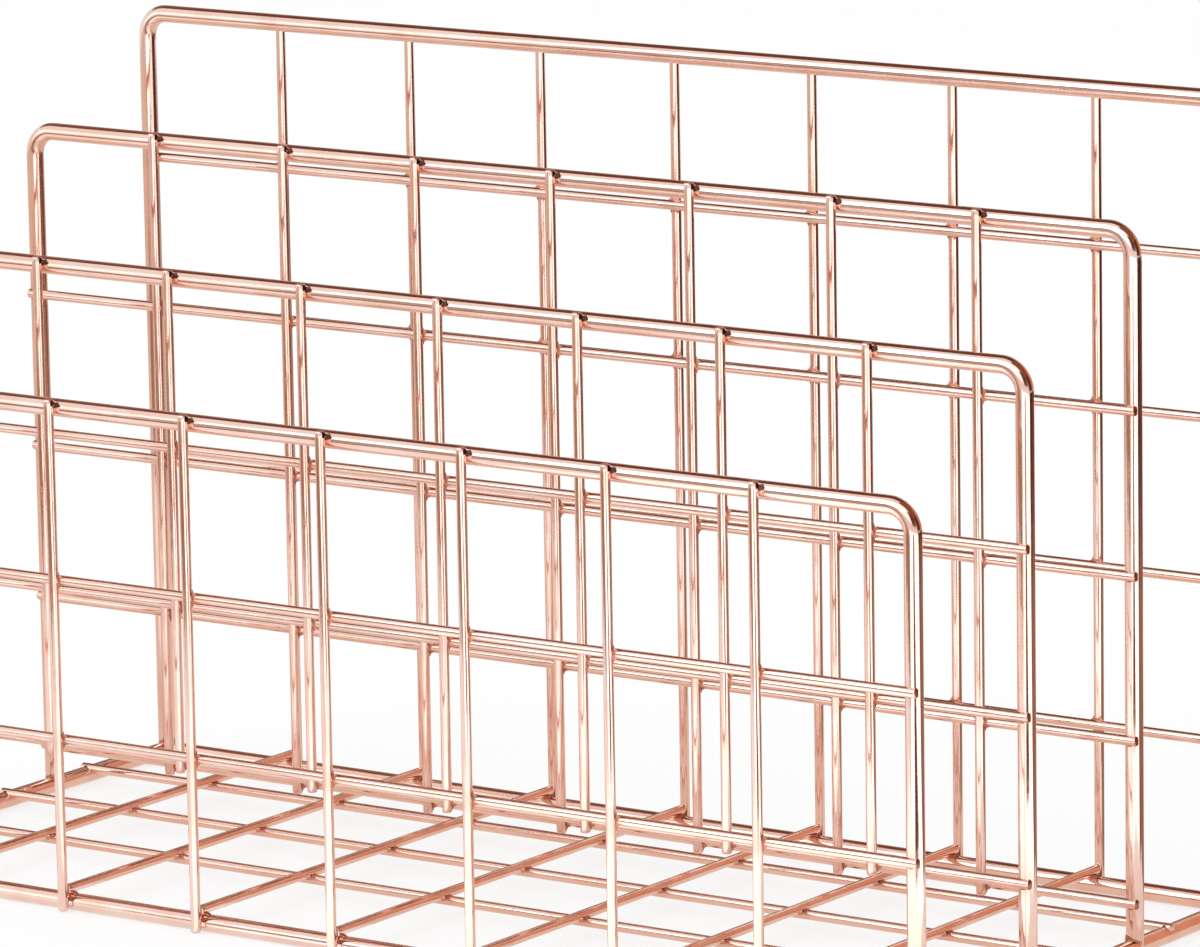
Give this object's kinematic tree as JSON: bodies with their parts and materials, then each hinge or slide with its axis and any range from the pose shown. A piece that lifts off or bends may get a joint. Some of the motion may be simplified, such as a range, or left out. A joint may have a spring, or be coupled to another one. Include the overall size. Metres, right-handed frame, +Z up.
{
  "type": "letter rack",
  "caption": "Tiered desktop letter rack of welded rose-gold wire: mesh panels with rounded frames stand on a wire base and hold letters upright in slots between them.",
  "frame": {"origin": "on the surface that the rack stands on, under the middle of its base", "axes": "+X along the panels, to the right seen from the front; +Y from the low front panel to the tall back one; +Z up"},
  "size_m": [0.2432, 0.1116, 0.1472],
  "materials": {
    "rose_gold_wire": "rose-gold plated steel wire, bright and smooth"
  },
  "bodies": {
    "root": {"back_panel_frame": "rose_gold_wire", "back_panel_rung_1": "rose_gold_wire", "back_panel_rung_2": "rose_gold_wire", "back_panel_rung_3": "rose_gold_wire", "back_panel_rung_4": "rose_gold_wire", "back_panel_upright_1": "rose_gold_wire", "back_panel_upright_2": "rose_gold_wire", "back_panel_upright_3": "rose_gold_wire", "back_panel_upright_4": "rose_gold_wire", "back_panel_upright_5": "rose_gold_wire", "back_panel_upright_6": "rose_gold_wire", "back_panel_upright_7": "rose_gold_wire", "base_cross_wire_1": "rose_gold_wire", "base_cross_wire_2": "rose_gold_wire", "base_cross_wire_3": "rose_gold_wire", "base_cross_wire_4": "rose_gold_wire", "base_cross_wire_5": "rose_gold_wire", "base_cross_wire_6": "rose_gold_wire", "base_cross_wire_7": "rose_gold_wire", "base_long_wire_1": "rose_gold_wire", "base_long_wire_2": "rose_gold_wire", "base_long_wire_3": "rose_gold_wire", "base_loop": "rose_gold_wire", "front_panel_frame": "rose_gold_wire", "front_panel_rung_1": "rose_gold_wire", "front_panel_rung_2": "rose_gold_wire", "front_panel_upright_1": "rose_gold_wire", "front_panel_upright_2": "rose_gold_wire", "front_panel_upright_3": "rose_gold_wire", "front_panel_upright_4": "rose_gold_wire", "front_panel_upright_5": "rose_gold_wire", "front_panel_upright_6": "rose_gold_wire", "front_panel_upright_7": "rose_gold_wire", "second_panel_frame": "rose_gold_wire", "second_panel_rung_1": "rose_gold_wire", "second_panel_rung_2": "rose_gold_wire", "second_panel_rung_3": "rose_gold_wire", "second_panel_upright_1": "rose_gold_wire", "second_panel_upright_2": "rose_gold_wire", "second_panel_upright_3": "rose_gold_wire", "second_panel_upright_4": "rose_gold_wire", "second_panel_upright_5": "rose_gold_wire", "second_panel_upright_6": "rose_gold_wire", "second_panel_upright_7": "rose_gold_wire", "third_panel_frame": "rose_gold_wire", "third_panel_rung_1": "rose_gold_wire", "third_panel_rung_2": "rose_gold_wire", "third_panel_rung_3": "rose_gold_wire", "third_panel_rung_4": "rose_gold_wire", "third_panel_upright_1": "rose_gold_wire", "third_panel_upright_2": "rose_gold_wire", "third_panel_upright_3": "rose_gold_wire", "third_panel_upright_4": "rose_gold_wire", "third_panel_upright_5": "rose_gold_wire", "third_panel_upright_6": "rose_gold_wire", "third_panel_upright_7": "rose_gold_wire"}
  },
  "joints": []
}
